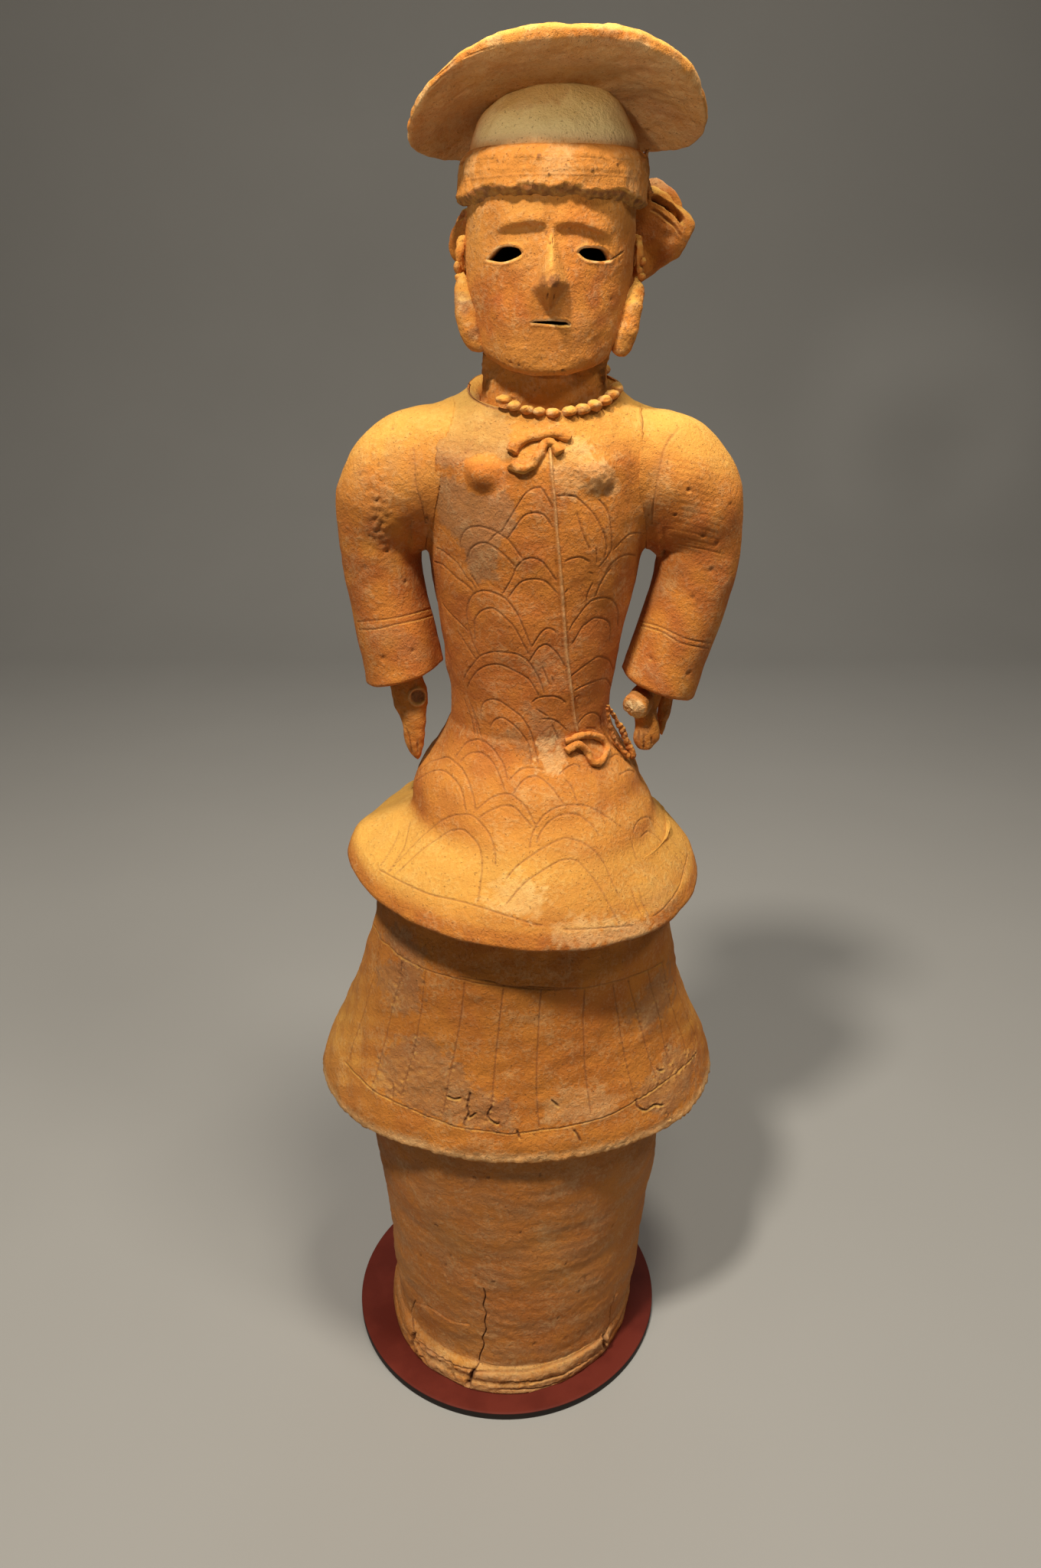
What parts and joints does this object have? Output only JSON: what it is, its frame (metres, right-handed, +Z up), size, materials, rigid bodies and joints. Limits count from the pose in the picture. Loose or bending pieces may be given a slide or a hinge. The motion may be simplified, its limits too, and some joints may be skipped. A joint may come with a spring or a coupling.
{
  "type": "haniwa figure",
  "caption": "Hollow fired-clay figure of a standing court lady with board-like hair, flared jacket and skirt on a cylindrical foot, standing on its round red board.",
  "frame": {"origin": "centre of the round board's underside", "axes": "+Z up along the figure, the face looks towards -Y, +X to the viewer's right"},
  "size_m": [0.412, 0.3466, 1.2663],
  "materials": {
    "fired_clay": "unglazed orange earthenware, matt, with grey fills and dark specks",
    "red_board": "matt red-brown painted board with a black edge"
  },
  "bodies": {
    "root": {"figure": "fired_clay", "base_disc": "red_board"}
  },
  "joints": []
}
